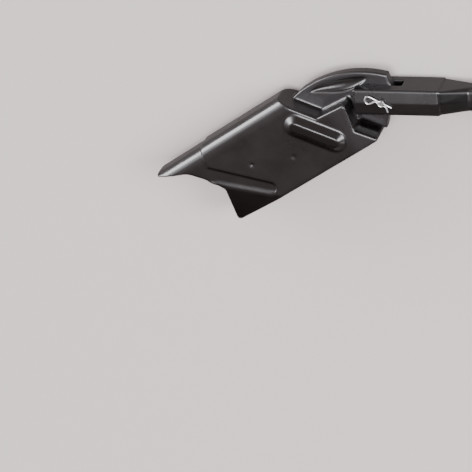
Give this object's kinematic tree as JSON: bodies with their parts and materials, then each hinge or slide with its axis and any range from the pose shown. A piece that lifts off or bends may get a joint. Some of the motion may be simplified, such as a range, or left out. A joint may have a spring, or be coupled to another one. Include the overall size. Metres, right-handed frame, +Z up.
{
  "type": "mulch plug",
  "caption": "Long moulded plug with a pointed nose, side ribs and an arched tang, carrying a forked lever handle on a clipped clevis pin.",
  "frame": {"origin": "centre of the whole part's box in X and Y, on the plane that it lies on", "axes": "+X along the body from the nose to the handle; +Y up the body's height, from its straight bottom edge to its rounded top; +Z up, through the body's thickness, out of the side that the pin's clip is on"},
  "size_m": [0.6474, 0.2444, 0.0952],
  "materials": {
    "body_plastic": "fine-grained semi-gloss black",
    "handle_plastic": "fine-grained semi-gloss black",
    "pin_steel": "bright zinc plate",
    "clip_steel": "bright zinc plate"
  },
  "bodies": {
    "plug": {"plug_body": "body_plastic"},
    "lever": {"handle": "handle_plastic", "clevis_pin": "pin_steel", "r_clip": "clip_steel"}
  },
  "joints": [
    {"name": "handle_hinge", "type": "hinge", "parent": "plug", "child": "lever", "pos_m": [0.11345, 0.02275, 0.03708], "axis": [0, 0, 1], "range_deg": [-20, 30]}
  ]
}
